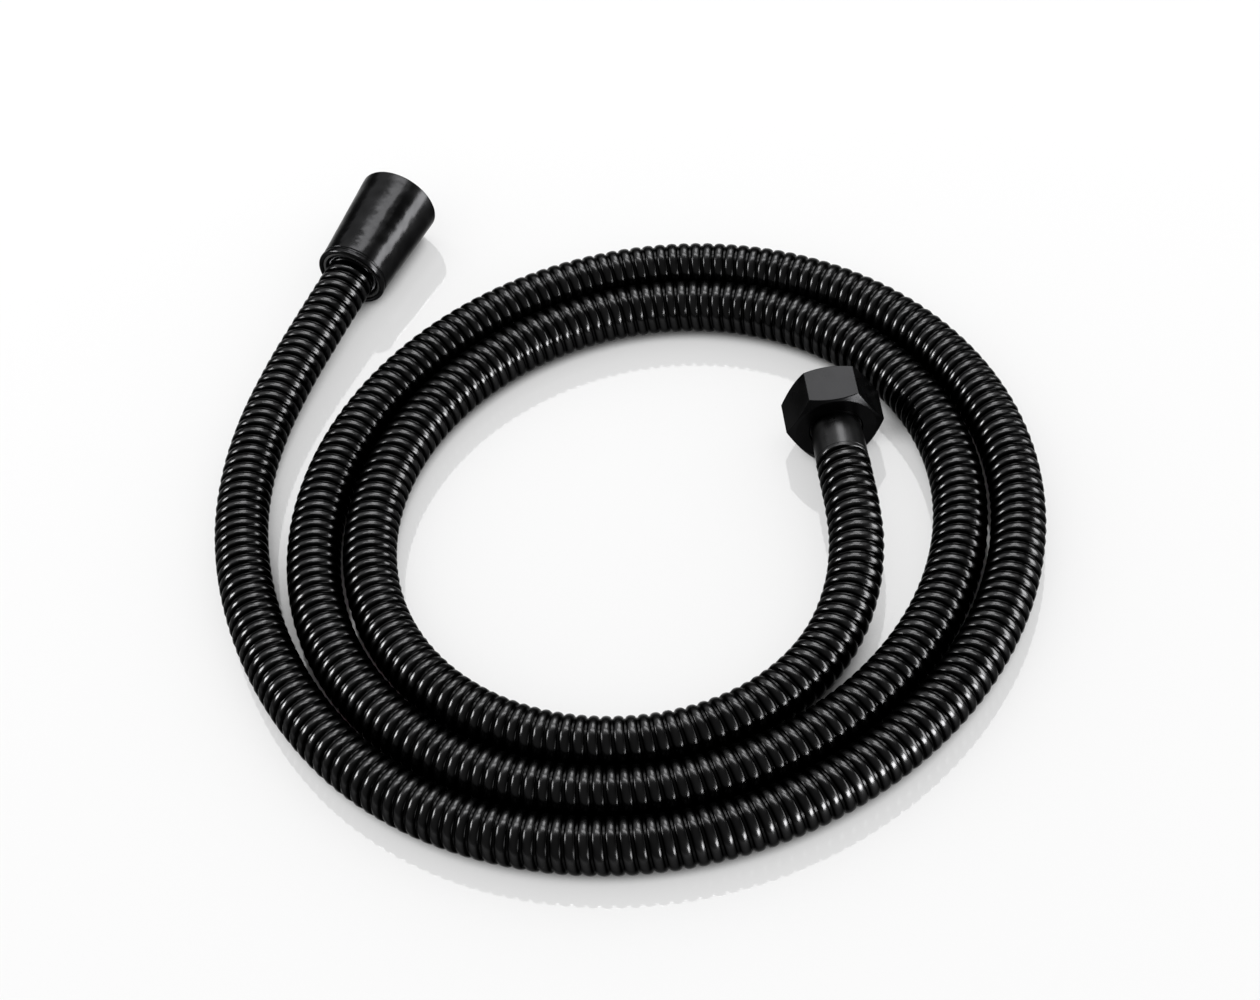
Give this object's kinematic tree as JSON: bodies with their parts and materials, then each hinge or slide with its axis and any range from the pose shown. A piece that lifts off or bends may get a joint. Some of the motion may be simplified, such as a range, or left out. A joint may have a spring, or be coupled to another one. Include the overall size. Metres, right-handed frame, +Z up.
{
  "type": "shower hose",
  "caption": "Coiled flexible metal shower hose with a ribbed black armour, a tapered swivel nut at one end and a hexagon nut at the other.",
  "frame": {"origin": "middle of the part's footprint, on the surface that the coil lies on", "axes": "+Z up from that surface; +Y along the hexagon nut's axis, out of its mouth; +X to the right of it, seen from above"},
  "size_m": [0.2197, 0.2463, 0.0236],
  "materials": {
    "armour": "satin black coating over stainless steel strip",
    "nut_coating": "satin black coating over brass",
    "collar_coating": "semi-gloss black coating over brass",
    "brass": "machined brass",
    "steel": "plain stainless steel",
    "tube_rubber": "matte rubber tube",
    "seal_rubber": "matte sealing rubber",
    "bush_plastic": "black moulded plastic",
    "slip_plastic": "white moulded plastic"
  },
  "bodies": {
    "hose": {"hose_armour": "armour", "inner_tube": "tube_rubber", "hex_core": "brass", "hex_ferrule": "collar_coating", "hex_tube_clamp": "steel", "hex_washer": "seal_rubber", "cone_core": "brass", "cone_ferrule": "steel", "cone_tube_clamp": "steel"},
    "swivel": {"swivel_spigot": "brass", "swivel_thrust_washer": "slip_plastic", "swivel_o_ring_front": "seal_rubber", "swivel_o_ring_rear": "seal_rubber", "swivel_snap_ring": "steel", "cone_washer": "seal_rubber"},
    "cone_slip": {"cone_slip_ring": "slip_plastic"},
    "cone_nut": {"cone_nut": "nut_coating", "cone_rear_bush": "bush_plastic"},
    "hex_slip": {"hex_slip_ring": "slip_plastic"},
    "hex_nut": {"hex_nut": "nut_coating"}
  },
  "joints": [
    {"name": "swivel_spin", "type": "hinge", "parent": "hose", "child": "swivel", "pos_m": [-0.06884, 0.08979, 0.01036], "axis": [0.4995, 0.8651, 0.0458], "continuous": true},
    {"name": "cone_nut_slide", "type": "slide", "parent": "hose", "child": "cone_slip", "axis": [-0.4995, -0.8651, -0.0458], "range_m": [0, 0.012]},
    {"name": "cone_nut_spin", "type": "hinge", "parent": "cone_slip", "child": "cone_nut", "pos_m": [-0.06884, 0.08979, 0.01036], "axis": [0.4995, 0.8651, 0.0458], "continuous": true},
    {"name": "hex_nut_slide", "type": "slide", "parent": "hose", "child": "hex_slip", "axis": [0, -1, 0], "range_m": [0, 0.01]},
    {"name": "hex_nut_spin", "type": "hinge", "parent": "hex_slip", "child": "hex_nut", "pos_m": [0.0588, -0.00788, 0.0115], "axis": [0, 1, 0], "continuous": true}
  ]
}
